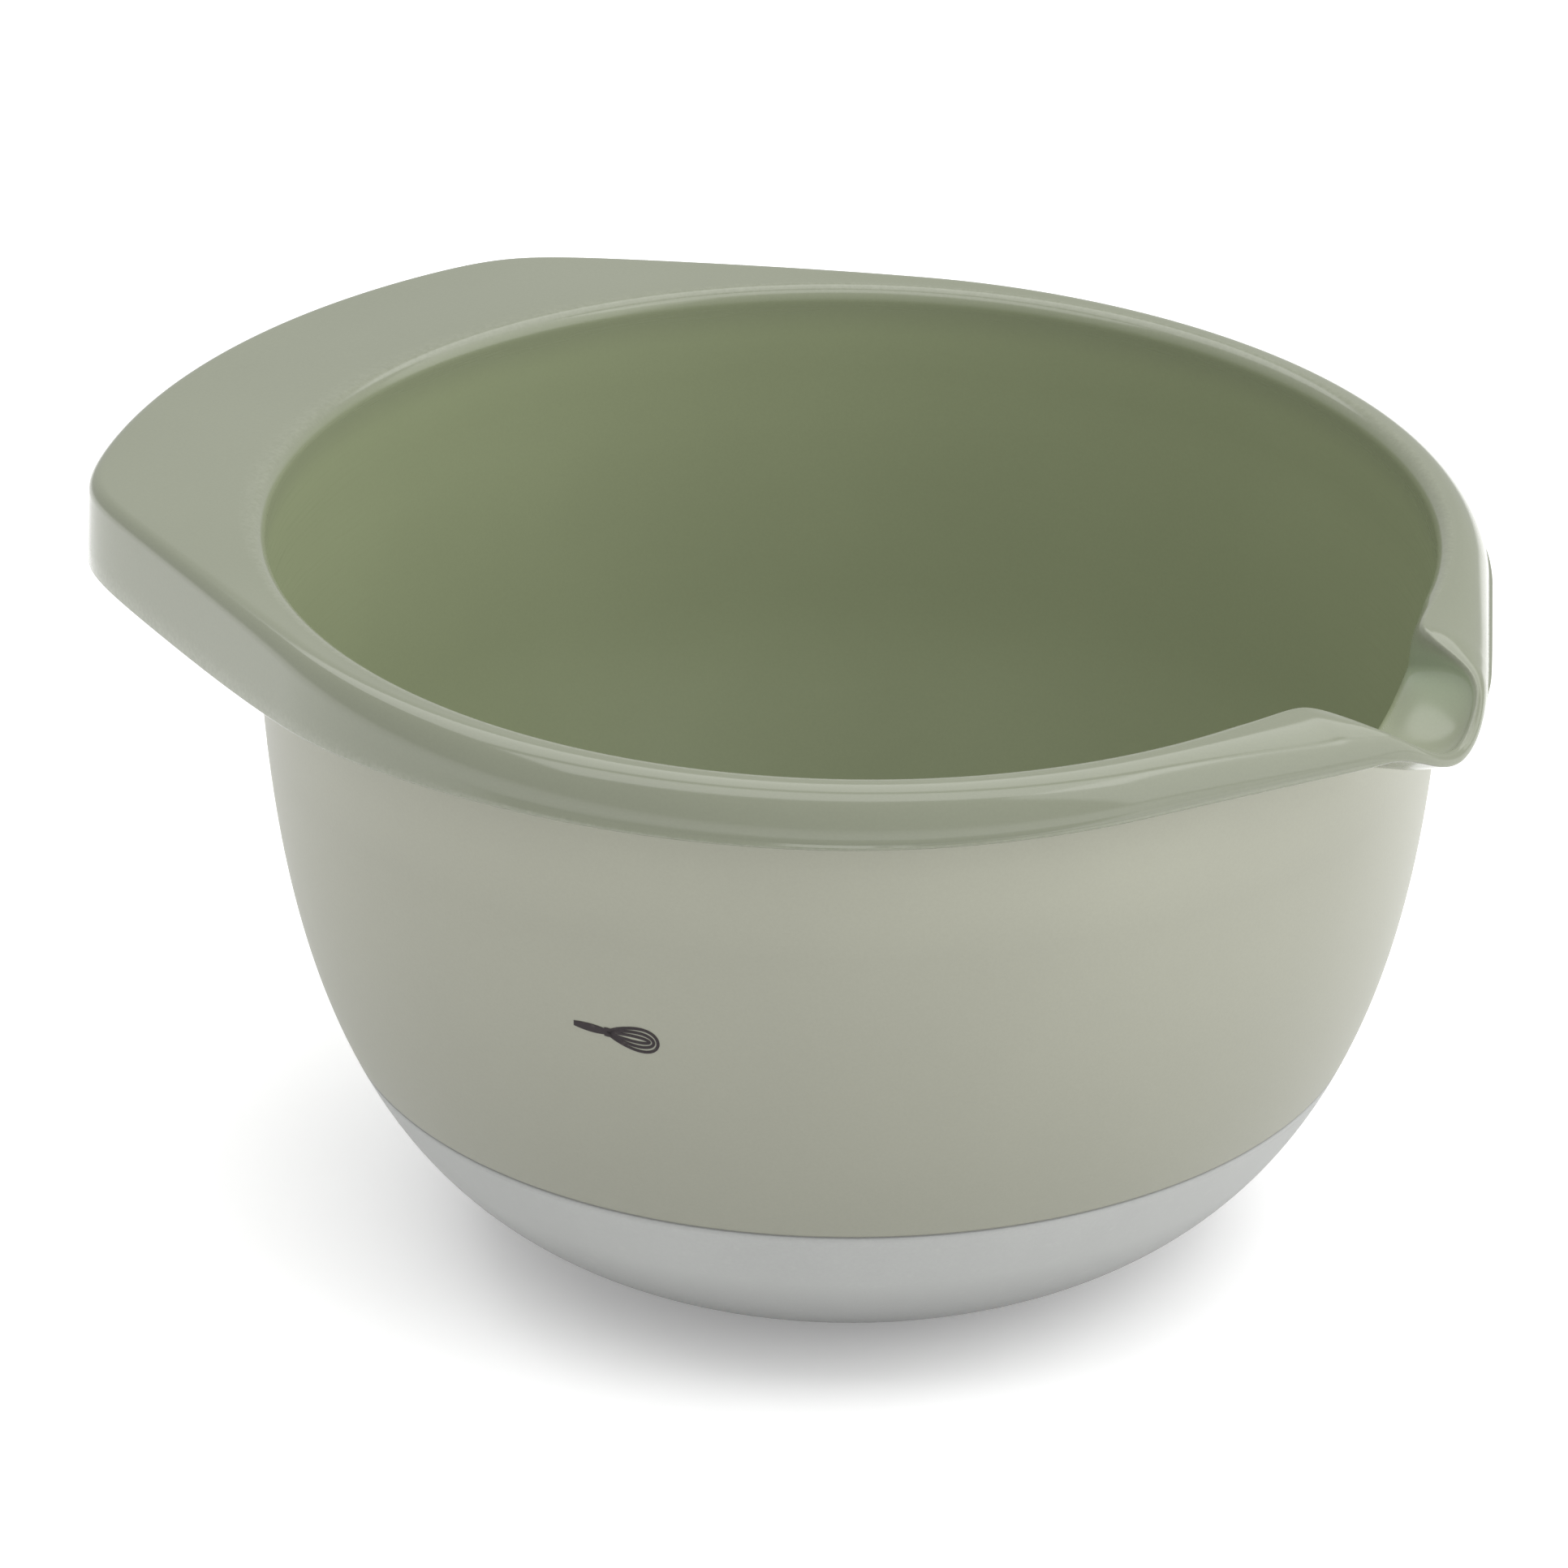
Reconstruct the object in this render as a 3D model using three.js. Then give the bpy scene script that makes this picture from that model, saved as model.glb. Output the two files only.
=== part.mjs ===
// Mixing bowl: a moulded plastic shell with a rolled rim, a grip flange and a pour spout, standing in a
// soft non-slip base cup. Millimetres, +Z up. The origin is the centre of the flat foot, the spout points
// along +X and the grip flange along -X.
import * as THREE from 'three';

const { clamp, degToRad, lerp, radToDeg, smoothstep } = THREE.MathUtils;

// Bowl
const MOUTH_RADIUS = 119.4;      // inside of the wall, just under the rim
const RIM_TOP = 155.2;
const RIM_SLOPE = 0.0146;        // the rim falls this much towards the spout
const WALL = 2.2;
const FLOOR = 4.2;               // floor and base cup together, at the foot
const FOOT_RADIUS = 50;
const WALL_TOP = 127;            // the curved wall ends here, with the collar and the rim above it
const WALL_TOP_RADIUS = 121.3;
const RIM_START = 139;           // the rim's slope is complete from this height up

// Rim: a small round on the inside and a tall one on the outside that turns down into a skirt
const RIM_WIDTH = 10.8;
const INNER_BEAD = 3.2;
const OUTER_BEAD_HEIGHT = 10;
const SKIRT_BOTTOM = 144.2;
const SKIRT_FLARE = 0.7;
const SKIRT_EDGE = 0.6;

// Grip flange on -X
const FLANGE_RADIUS = 159.2;
const FLANGE_SIDE = degToRad(64);            // where its straight sides leave the round rim
const FLANGE_SKIRT_BOTTOM = 135.6;
const FLANGE_SHARE_ANGLE = degToRad(73.5);
const FLANGE_TOP = 155.8;
const FLANGE_FALL = 0.055;                   // outward slope of its top
const FLANGE_BEAD = 3.2;

// Pour spout on +X
const SPOUT_RADIUS = 144.6;
const SPOUT_SIDE = degToRad(30.1);           // where its straight sides leave the round rim
const SPOUT_SKIRT_BOTTOM = 146.2;
const SPOUT_SKIRT_DROP = 6;
const LIP_DROP = 12.3;
const LIP_BEAD = 1.3;
const LIP_ANGLE = degToRad(8.6);
const LIP_TURN = 58;                         // slope of the gutter's end, in degrees
const DIP_ANGLE = degToRad(11.2);
const GUTTER_LOW = 134.7;                    // where the gutter's floor leaves the wall
const GUTTER_RISE = 17;
const GUTTER_HALF_WIDTH = 38;
const GUTTER_RADIUS = 125;

// Base cup
const BASE_TOP = 45.4;
const BASE_WALL = 1.8;
const GAP = 0.3;

// Facets
const SEGMENTS = 108;
const WALL_STEPS = 9;
const BASE_STEPS = 6;
const GUTTER_STEPS = 6;
const ROUND_STEPS = 3;
const OUTER_ROUND_STEPS = 5;

const RIM_RADIUS = MOUTH_RADIUS + RIM_WIDTH;

const point = (radius, height) => new THREE.Vector2(radius, height);

// Outside of the bowl, from the collar down to the foot.
const outline = new THREE.CubicBezierCurve(
  point(WALL_TOP_RADIUS, WALL_TOP),
  point(118.8, 66.3),
  point(104.4, 10.3),
  point(FOOT_RADIUS, 0),
);

function outlineParameterAt(height) {
  let low = 0;
  let high = 1;
  for (let i = 0; i < 40; i += 1) {
    const middle = (low + high) / 2;
    if (outline.getPoint(middle).y > height) low = middle;
    else high = middle;
  }
  return low;
}

// A point of the outline moved towards the inside of the bowl.
function insetPoint(parameter, depth) {
  const start = outline.getPoint(parameter);
  const tangent = outline.getTangent(parameter);
  return point(start.x + tangent.y * depth, start.y - tangent.x * depth);
}

function smoothMin(a, b, sharpness) {
  return Math.min(a, b) - Math.log1p(Math.exp(-sharpness * Math.abs(a - b))) / sharpness;
}

// 1 on the spout's centre line, falling smoothly to 0 at the half angle.
function bell(angle, halfAngle) {
  const share = Math.min(Math.abs(angle) / halfAngle, 1);
  return Math.cos(share * Math.PI / 2) ** 2;
}

// Plan radius of the skirt: the round rim, with straight sides that run out tangentially to the flange and
// the spout.
function rimRadius(angle) {
  const fromFlange = Math.PI - Math.abs(angle);
  const flangeSide = RIM_RADIUS / Math.cos(Math.max(0, FLANGE_SIDE - fromFlange));
  const spoutSide = RIM_RADIUS / Math.cos(Math.max(0, SPOUT_SIDE - Math.abs(angle)));
  const flange = smoothMin(flangeSide, FLANGE_RADIUS, 0.28);
  const spout = smoothMin(spoutSide, SPOUT_RADIUS, 0.5);
  return Math.max(flange, spout);
}

// 1 across the grip flange, falling smoothly to 0 along the round rim.
function flangeShare(angle) {
  return 1 / (1 + ((Math.PI - Math.abs(angle)) / FLANGE_SHARE_ANGLE) ** 7.5);
}

// How far the skirt hangs at this angle: deeper on the flange, and following the lip down at the spout.
function skirtBottom(angle) {
  const spoutShare = 1 - smoothstep(radToDeg(Math.abs(angle)), 6, 62);
  const plain = lerp(SKIRT_BOTTOM, FLANGE_SKIRT_BOTTOM, flangeShare(angle));
  return lerp(plain, SPOUT_SKIRT_BOTTOM, spoutShare) - SPOUT_SKIRT_DROP * bell(angle, degToRad(8));
}

// Height at which the spout's gutter leaves the inside wall.
function gutterHeight(angle) {
  const side = Math.min(Math.sin(Math.abs(angle)) * GUTTER_RADIUS, GUTTER_HALF_WIDTH);
  return GUTTER_LOW + GUTTER_RISE * (side / GUTTER_HALF_WIDTH) ** 1.3;
}

function linePoints(from, to, steps) {
  const points = [];
  for (let i = 1; i <= steps; i += 1) points.push(from.clone().lerp(to, i / steps));
  return points;
}

function curvePoints(from, fromHandle, toHandle, to, steps) {
  return new THREE.CubicBezierCurve(from, fromHandle, toHandle, to).getPoints(steps).slice(1);
}

// Points of an elliptical arc in degrees, without its first point.
function arcPoints(centreR, centreZ, radiusR, radiusZ, from, to, steps) {
  const points = [];
  for (let i = 1; i <= steps; i += 1) {
    const a = degToRad(lerp(from, to, i / steps));
    points.push(point(centreR + radiusR * Math.cos(a), centreZ + radiusZ * Math.sin(a)));
  }
  return points;
}

// The points moved outward, at right angles to the line that they make.
function offsetPoints(points, depth) {
  return points.map((here, i) => {
    const before = points[Math.max(i - 1, 0)];
    const after = points[Math.min(i + 1, points.length - 1)];
    const along = after.clone().sub(before).normalize();
    return point(here.x + along.y * depth, here.y - along.x * depth);
  });
}

// The point a share of the way along the points.
function pointAlong(points, share) {
  const place = share * (points.length - 1);
  const index = Math.min(Math.floor(place), points.length - 2);
  return points[index].clone().lerp(points[index + 1], place - index);
}

function mixPoints(a, b, share) {
  return a.map((start, i) => start.clone().lerp(b[i], share));
}

// One radial section of the shell at an angle, from the floor's centre, up the inside, over the rim, round
// the skirt and down the outside to the centre again.
function shellSection(angle) {
  const degrees = radToDeg(Math.abs(angle));
  const lip = 1 / (1 + (Math.abs(angle) / LIP_ANGLE) ** 9);
  const cheek = 1 - smoothstep(degrees, 11.5, 19);
  const inGutter = 1 - smoothstep(degrees, 15, 24);
  const outer = rimRadius(angle);
  const bead = lerp(INNER_BEAD, LIP_BEAD, lip);
  const beadHeight = lerp(INNER_BEAD + 7.4 * cheek, LIP_BEAD, lip);
  const crest = lerp(MOUTH_RADIUS + INNER_BEAD, outer - LIP_BEAD, lip);
  const crestHeight = RIM_TOP - LIP_DROP * bell(angle, DIP_ANGLE);
  const flange = flangeShare(angle);
  const outerBead = lerp(0.9 * (outer - crest), FLANGE_BEAD, flange);
  const topEnd = outer - outerBead;
  const flangeHeight = FLANGE_TOP - FLANGE_FALL * (topEnd - crest);
  const outerHeight = lerp(crestHeight - 0.1, flangeHeight, flange);
  const bottom = skirtBottom(angle);
  const roomBelow = outerHeight - bottom - SKIRT_EDGE - 0.3;
  const outerBeadHeight = Math.min(lerp(OUTER_BEAD_HEIGHT, FLANGE_BEAD, flange), roomBelow);

  // Inside: floor and wall.
  const section = [point(0, FLOOR), point(FOOT_RADIUS * 0.9, FLOOR)];
  for (let i = WALL_STEPS; i >= 1; i -= 1) {
    const parameter = i / WALL_STEPS;
    const thickening = smoothstep(85 - outline.getPoint(parameter).y, 0, 85 - BASE_TOP);
    section.push(insetPoint(parameter, lerp(WALL, FLOOR, thickening)));
  }

  // Inside: collar, opening outward into the spout's gutter, then the rim's inner round.
  const foot = point(MOUTH_RADIUS, lerp(135, gutterHeight(angle) - 3.5, inGutter));
  section.push(point(WALL_TOP_RADIUS - WALL, WALL_TOP - 1.5), foot);
  const turn = lerp(90, LIP_TURN, lip);
  const turnR = Math.cos(degToRad(turn));
  const turnZ = Math.sin(degToRad(turn));
  const top = point(crest - bead * turnZ, crestHeight - beadHeight + beadHeight * turnR);
  const rise = (top.y - foot.y) / 3;
  const footHandle = point(foot.x, foot.y + lerp(rise, 7, lip));
  const topHandle = point(top.x - 5 * turnR, top.y - lerp(rise, 5, lip) * turnZ);
  const gutter = curvePoints(foot, footHandle, topHandle, top, GUTTER_STEPS);
  section.push(...gutter);
  const beadCentre = crestHeight - beadHeight;
  section.push(...arcPoints(crest, beadCentre, bead, beadHeight, turn + 90, 90, ROUND_STEPS));

  // Top of the rim, its outer round, the skirt and the skirt's lower edge.
  section.push(...linePoints(point(crest, crestHeight), point(topEnd, outerHeight), 2));
  const outerCentre = outerHeight - outerBeadHeight;
  section.push(...arcPoints(topEnd, outerCentre, outerBead, outerBeadHeight, 90, 0, OUTER_ROUND_STEPS));
  const skirt = outer + lerp(SKIRT_FLARE, 0, lip);
  const edgeEnd = point(skirt - SKIRT_EDGE, bottom);
  section.push(point(skirt, bottom + SKIRT_EDGE), edgeEnd);

  // Inner face of the skirt and the underside of the rim. They close up towards the spout's lip.
  const outside = offsetPoints([foot, ...gutter], WALL).reverse();
  const hollow = clamp(outerBead - WALL, 0.3, FLANGE_BEAD);
  const hollowHeight = clamp(outerBeadHeight - WALL, 0.3, 6);
  const ceiling = outerHeight - WALL;
  const hollowRadius = outer - WALL - hollow;
  const innerFace = [
    point(skirt - WALL, bottom + 0.4),
    point(outer - WALL, Math.max(ceiling - hollowHeight, bottom + 0.6)),
    ...arcPoints(hollowRadius, ceiling - hollowHeight, hollow, hollowHeight, 0, 90, 2),
    point(outside[0].x + 1, crestHeight - WALL),
  ];
  const closed = 1 - smoothstep(outer - WALL - outside[0].x, 0.8, 5);
  const shutFace = linePoints(edgeEnd, pointAlong(outside, 0.3), innerFace.length);
  section.push(...mixPoints(innerFace, shutFace, closed));
  const shutWall = outside.map((_, i) => pointAlong(outside, lerp(0.3, 1, (i + 1) / outside.length)));
  section.push(...mixPoints(outside, shutWall, closed), point(WALL_TOP_RADIUS, WALL_TOP));

  // Outside: wall down to the base cup, a step inward, and on down inside the cup.
  const baseTopParameter = outlineParameterAt(BASE_TOP);
  for (let i = 1; i < WALL_STEPS; i += 1) {
    section.push(insetPoint(baseTopParameter * (i / (WALL_STEPS - 1)), 0));
  }
  for (let i = 0; i <= BASE_STEPS; i += 1) {
    section.push(insetPoint(lerp(baseTopParameter, 1, i / BASE_STEPS), BASE_WALL + GAP));
  }
  section.push(point(0, BASE_WALL + GAP));
  return section.map((corner) => sloped(corner, angle));
}

// The rim's slope: a point above the wall falls in proportion to its distance towards the spout.
function sloped(corner, angle) {
  const share = clamp((corner.y - WALL_TOP) / (RIM_START - WALL_TOP), 0, 1);
  return point(corner.x, corner.y - RIM_SLOPE * corner.x * Math.cos(angle) * share);
}

// One radial section of the base cup, the same at every angle.
function baseSection() {
  const top = outlineParameterAt(BASE_TOP - 0.45);
  const section = [point(0, BASE_WALL)];
  for (let i = BASE_STEPS; i >= 0; i -= 1) {
    section.push(insetPoint(lerp(top, 1, i / BASE_STEPS), BASE_WALL));
  }
  for (let i = 0; i <= BASE_STEPS; i += 1) {
    section.push(insetPoint(lerp(top, 1, i / BASE_STEPS), 0));
  }
  section.push(point(0, 0));
  return section;
}

// Steps round the axis are closer together at the spout.
function stationAngle(step) {
  const even = Math.PI - (step / SEGMENTS) * Math.PI * 2;
  return even - 0.45 * Math.sin(even) - 0.12 * Math.sin(2 * even);
}

// A lathe body whose section changes with the angle.
function sweptLathe(sectionAt) {
  const profile = sectionAt(Math.PI);
  const geometry = new THREE.LatheGeometry(profile, SEGMENTS);
  const position = geometry.attributes.position;
  for (let step = 0; step <= SEGMENTS; step += 1) {
    const angle = stationAngle(step % SEGMENTS);
    sectionAt(angle).forEach((corner, row) => {
      const x = corner.x * Math.cos(angle);
      const y = corner.x * Math.sin(angle);
      position.setXYZ(step * profile.length + row, x, y, corner.y);
    });
  }
  geometry.computeVertexNormals();
  return geometry;
}

function makePiece(name, sectionAt, colour, roughness) {
  const material = new THREE.MeshStandardMaterial({ color: colour, roughness, metalness: 0 });
  const mesh = new THREE.Mesh(sweptLathe(sectionAt), material);
  mesh.name = name;
  return mesh;
}

const group = new THREE.Group();
group.add(makePiece('bowl_shell', shellSection, 0x9ba48c, 0.3));
group.add(makePiece('non_slip_base', baseSection, 0xbfc1bf, 0.7));

export default group;
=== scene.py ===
import math

import bmesh
import bpy
import numpy as np
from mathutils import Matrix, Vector


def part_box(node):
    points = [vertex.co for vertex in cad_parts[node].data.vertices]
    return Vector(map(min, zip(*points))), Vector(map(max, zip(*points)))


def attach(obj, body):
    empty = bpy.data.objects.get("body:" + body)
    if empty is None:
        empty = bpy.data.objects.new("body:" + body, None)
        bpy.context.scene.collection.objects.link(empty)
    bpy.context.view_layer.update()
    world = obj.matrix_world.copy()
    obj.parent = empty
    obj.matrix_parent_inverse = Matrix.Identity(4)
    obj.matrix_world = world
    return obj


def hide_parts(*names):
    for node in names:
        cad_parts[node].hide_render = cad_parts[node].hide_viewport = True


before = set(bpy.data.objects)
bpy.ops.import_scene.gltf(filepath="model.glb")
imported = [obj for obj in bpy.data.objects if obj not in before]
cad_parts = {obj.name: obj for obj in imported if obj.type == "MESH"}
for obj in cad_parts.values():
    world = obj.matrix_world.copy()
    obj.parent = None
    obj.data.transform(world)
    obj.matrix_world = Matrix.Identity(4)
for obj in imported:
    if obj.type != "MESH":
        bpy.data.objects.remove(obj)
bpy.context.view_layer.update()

# Mixing bowl: a moulded plastic shell in a soft base cup. The shape is worked out in millimetres, and the
# finishes, the view and the lights in metres.
MM = 0.001

# Shell
MOUTH_RADIUS = 119.4
RIM_TOP = 155.2
RIM_SLOPE = 0.0146
WALL = 2.2
FLOOR = 4.2
THICKENING_TOP = 85.0
FOOT_RADIUS = 50.0
FLAT_SHARE = 0.9
WALL_TOP = 127.0
WALL_TOP_RADIUS = 121.3
COLLAR_TOP = 135.0
COLLAR_INSET = 0.05
COLLAR_DROP = 1.5
OUTLINE = ((WALL_TOP_RADIUS, WALL_TOP), (118.8, 66.3), (104.4, 10.3), (FOOT_RADIUS, 0.0))
SLOPE_START = WALL_TOP
SLOPE_END = 139.0

# Rim
RIM_WIDTH = 10.8
INNER_BEAD = 3.2
OUTER_BEAD_SHARE = 0.9
OUTER_BEAD_HEIGHT = 10.0
CREST_FALL = 0.1
RIM_HANDLE = 0.3
RIM_HANDLE_FALL = 0.8
ROOT_ROOM = 1.0
SKIRT_BOTTOM = 144.2
SKIRT_FLARE = 0.7
SKIRT_EDGE = 0.6
SKIRT_INNER_EDGE = 0.4
SKIRT_ROOM = 0.3
HOLLOW_LEAST = 0.3
HOLLOW_HEIGHT = 6.0
CLOSED_ROOM = 0.8
OPEN_ROOM = 5.0
SHUT_SHARE = 0.3

# Grip flange on -X
FLANGE_RADIUS = 159.2
FLANGE_SIDE = math.radians(64.0)
FLANGE_SKIRT_BOTTOM = 135.6
FLANGE_SHARE_ANGLE = math.radians(73.5)
FLANGE_SHARE_POWER = 7.5
FLANGE_CORNER_SHARPNESS = 0.28
FLANGE_TOP = 155.8
FLANGE_FALL = 0.055
FLANGE_BEAD = 3.2

# Pour spout on +X
SPOUT_RADIUS = 144.6
SPOUT_SIDE = math.radians(30.1)
SPOUT_CORNER_SHARPNESS = 0.5
LIP_DROP = 12.3
LIP_BEAD = 1.3
LIP_ANGLE = math.radians(8.6)
LIP_POWER = 9
LIP_TURN = 58.0
LIP_LIFT = 7.0
LIP_REACH = 5.0
DIP_ANGLE = math.radians(11.2)
GUTTER_LOW = 134.7
GUTTER_RISE = 17.0
GUTTER_POWER = 1.3
GUTTER_HALF_WIDTH = 38.0
GUTTER_LENGTH_RADIUS = 125.0
GUTTER_FOOT_DROP = 3.5
CHEEK_ROUND = 7.4
SPOUT_SKIRT_BOTTOM = 146.2
SPOUT_SKIRT_DROP = 6.0
SPOUT_SKIRT_ANGLE = math.radians(8.0)

# Angles between which each part of the spout fades out, or the gutter's gloss and painted light fade in, in
# degrees from the spout's centre line
SPOUT_SKIRT_ENDS = (6.0, 62.0)
GUTTER_ENDS = (15.0, 24.0)
CHEEK_ENDS = (11.5, 19.0)
GUTTER_GLOSS_AND_PAINTED_LIGHT_STARTS = (2.0, 9.0)
SIDE_END = 60

# Base cup
BASE_TOP = 45.4
BASE_WALL = 1.8
BASE_ROUND = 0.45
GAP = 0.3

# Zones: how much of the inside's finish goes in the gutter and by the inner round, the wear on that round,
# and where on the wall the painted shade line over the base starts
GUTTER_FADE = 0.7
RIM_FADE = 0.4
BEAD_WEAR = 0.5
PAINTED_LINE_START = 0.994

# Zones: the rows between which each finish fades, counted from the start of its stretch
GUTTER_FADE_ROWS = (0.0, 8.0)
RIM_FADE_ROWS = (10.0, 20.0)
GUTTER_GLOSS_AND_PAINTED_LIGHT_ROWS = (3.0, 14.0)
BEAD_INSIDE_ROWS = (0.0, 7.0)
BEAD_GLOSS_AND_PAINTED_LIGHT_ROWS = (1.0, 7.0)
BEAD_WEAR_ROWS = (2.0, 8.0)
WALL_FADE_ROWS = (0.0, 9.0)

# Stations round the axis, and how much closer together they are at the spout
STATIONS = 512
CROWDING = 0.45
DOUBLE_CROWDING = 0.12

# Rows of each stretch of the shell's and the base's sections
FLOOR_ROWS = 8
INSIDE_ROWS = 40
COLLAR_ROWS = 3
GUTTER_ROWS = 20
BEAD_ROWS = 10
RIM_ROWS = 8
OUTER_BEAD_ROWS = 12
SKIRT_ROWS = 4
WALL_ROWS = 30
FOOT_ROWS = 12
BASE_INSIDE_ROWS = 20
BASE_OUTSIDE_ROWS = 40

# Heights in metres
FOOT_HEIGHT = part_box("non_slip_base")[0][2]
COLLAR_HEIGHT = WALL_TOP * MM

# A small generic whisk printed on the wall
PRINT_ANGLE = math.radians(-80.0)
PRINT_HEIGHT = 92.5
PRINT_TURN = math.radians(-4.0)
PRINT_LIFT = 0.03
PRINT_THICKNESS = 0.06
WHISK_LENGTH = 10.5
WHISK_HALF_WIDTHS = (3.4, 2.1, 0.8)
WIRE_STEP = 0.9
WIRE_HALF_THICKNESS = 0.32
WIRE_FULLNESS = 0.72
WIRE_TAPER = 0.28
WIRE_POINTS = 64
HANDLE_LENGTH = 7.0
HANDLE_START = 0.6
HANDLE_STEPS = 16
HANDLE_HALF_THICKNESS = 0.55
HANDLE_BULGE = 0.4
HANDLE_BULGE_START = 0.1
HANDLE_BULGE_END = 0.98
COLLAR_PLACES = (-0.9, -0.2, 0.5)
COLLAR_HALF_THICKNESSES = (1.0, 1.05, 1.0)

# Finishes: colours, painted light and shade, and roughness
# One plastic: the rim, inside and wall colours differ partly by finish and partly by painted light and shade
RIM_COLOUR = (0.187, 0.201, 0.147)
INSIDE_COLOUR = (0.274, 0.308, 0.188)
WALL_COLOUR = (0.27, 0.273, 0.217)
# Painted light: the gutter's colour is lighter than the cheeks would otherwise be, to lift their shade
GUTTER_COLOUR_WITH_PAINTED_LIGHT = (0.252, 0.295, 0.206)
WORN_COLOUR = (0.4, 0.41, 0.34)
# Painted shade: how dark the shell's colour gets at its foot
LOW_PAINTED_SHADE = 0.66
# Painted shade: how much darker the skirt's lower edge and the line over the base cup are
PAINTED_LINE_SHADE = 0.42
# Painted light: the wall's colour lightened just under the rim, where the rim's shade falls
UNDER_RIM_START = COLLAR_HEIGHT * 0.9
UNDER_RIM_END = COLLAR_HEIGHT * 1.12
UNDER_RIM_PAINTED_LIGHT = 0.2
PRINT_COLOUR = (0.016, 0.01, 0.012)
PRINT_SPECULAR = 0.25
RIM_ROUGHNESS = 0.12
GUTTER_ROUGHNESS = 0.08
INSIDE_ROUGHNESS = 0.34
WALL_ROUGHNESS = 0.42
BASE_COLOUR = (0.328, 0.334, 0.325)
BASE_DUST = (0.38, 0.38, 0.365)
# Painted shade: the base cup darker in a band just above the floor
BASE_PAINTED_SHADE = (0.148, 0.148, 0.146)
BASE_PAINTED_SHADE_BAND = 0.03
BASE_PAINTED_SHADE_SHARE = 0.9
FLOOR_COLOUR = (0.95, 0.95, 0.95)
FLOOR_GLOW = 0.2
WHITE = (1.0, 1.0, 1.0, 1.0)

# Finishes: sizes of the patterns in metres, and depths of the bumps
NOISE_LOW = 0.3
NOISE_HIGH = 0.7
CLOUD_SIZE = 0.06
RIPPLE_SIZE = 0.018
SCUFF_SIZE = 0.02
SCUFF_FLATNESS = 22.0
GRAIN_SIZE = 0.0006
WEAR_SIZE = 0.0012
WEAR_SHARE = 0.22
WEAR_ROUGHNESS = 0.35
SCUFF_ROUGHNESS = 0.12
RIM_RIPPLE = 0.05
GUTTER_RIPPLE = 0.5
RIPPLE_DEPTH = 0.0002
RIM_GRAIN = 0.04
WALL_GRAIN = 0.2
GRAIN_DEPTH = 0.00005
BASE_CLOUD_SIZE = 0.035
BASE_GRAIN_SIZE = 0.0008
BASE_GRAIN_DEPTH = 0.00008
DUST_SIZE = 0.003
DUST_SHARE = 0.25
INK_PATCH_SIZE = 0.0015
INK_GRAIN_SIZE = 0.0004
INK_GRAIN_DEPTH = 0.00003
FLOOR_CLOUD_SIZE = 0.4
FLOOR_PATCH_SIZE = 0.01
FLOOR_GRAIN_SIZE = 0.002
FLOOR_GRAIN_DEPTH = 0.0001

# Floor and view
FLOOR_SIZE = 14.0
FLOOR_GAP = 0.0004
VIEW_TURN = math.radians(33.6)
VIEW_HEIGHT = math.radians(24.05)
VIEW_DISTANCE = 1.92
VIEW_CENTRE = Vector((0.0, 0.0, 0.150))
AIM_LEFT = 0.01356
AIM_DOWN = 0.04971
SENSOR = 36.0
LENS = 215.791

# Light. A panel is a name, a place (right, away and up from the foot as seen from the camera's side), a size
# and a radiance.
PANEL_TARGET = Vector((0.0, 0.0, 0.1))
WORLD_STRENGTH = 0.64
PANELS = (
    ("top_front_panel", (0.0, -0.7, 2.0), (3.2, 0.9), 2.35),
    ("top_back_panel", (0.0, 0.75, 2.0), (3.2, 1.6), 2.0),
    ("right_panel", (1.6, -0.45, 1.0), (2.2, 2.0), 1.55),
)


def smooth(value, start, end):
    """0 at start, 1 at end, with a smooth step between."""
    share = np.clip((value - start) / (end - start), 0.0, 1.0)
    return share * share * (3.0 - 2.0 * share)


def mix(a, b, share):
    """The value at a share of the way from a to b."""
    return a + (b - a) * share


def smooth_min(a, b, sharpness):
    """The smaller value, with a rounded corner where they cross."""
    return np.minimum(a, b) - np.log1p(np.exp(-sharpness * np.abs(a - b))) / sharpness


def cubic(p0, p1, p2, p3, t):
    """Points of a cubic Bezier curve. The points may be arrays with one value for each station."""
    u = 1.0 - t
    weights = (u**3, 3 * u * u * t, 3 * u * t * t, t**3)
    return [sum(weight * value for weight, value in zip(weights, values)) for values in zip(p0, p1, p2, p3)]


def outline_point(t, depth=0.0):
    """A point of the wall's outline, moved towards the inside of the bowl by depth."""
    r, z = cubic(*OUTLINE, t)
    u = 1.0 - t
    weights = (u * u, 2 * u * t, t * t)
    legs = list(zip(weights, OUTLINE, OUTLINE[1:]))
    dr, dz = [3 * sum(weight * (q[i] - p[i]) for weight, p, q in legs) for i in (0, 1)]
    length = math.hypot(dr, dz)
    return r + dz / length * depth, z - dr / length * depth


def outline_parameter(height):
    """The place along the wall's outline where it is at a height."""
    low, high = 0.0, 1.0
    for _ in range(40):
        middle = (low + high) / 2
        if outline_point(middle)[1] > height:
            low = middle
        else:
            high = middle
    return low


def rim_radius(angle):
    """Plan radius of the skirt: the round rim, with straight sides that run out to the flange and spout."""
    rim = MOUTH_RADIUS + RIM_WIDTH
    from_flange = np.pi - np.abs(angle)
    flange_side = rim / np.cos(np.maximum(0.0, FLANGE_SIDE - from_flange))
    spout_side = rim / np.cos(np.maximum(0.0, SPOUT_SIDE - np.abs(angle)))
    flange = smooth_min(flange_side, FLANGE_RADIUS, FLANGE_CORNER_SHARPNESS)
    spout = smooth_min(spout_side, SPOUT_RADIUS, SPOUT_CORNER_SHARPNESS)
    return np.maximum(flange, spout)


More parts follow.
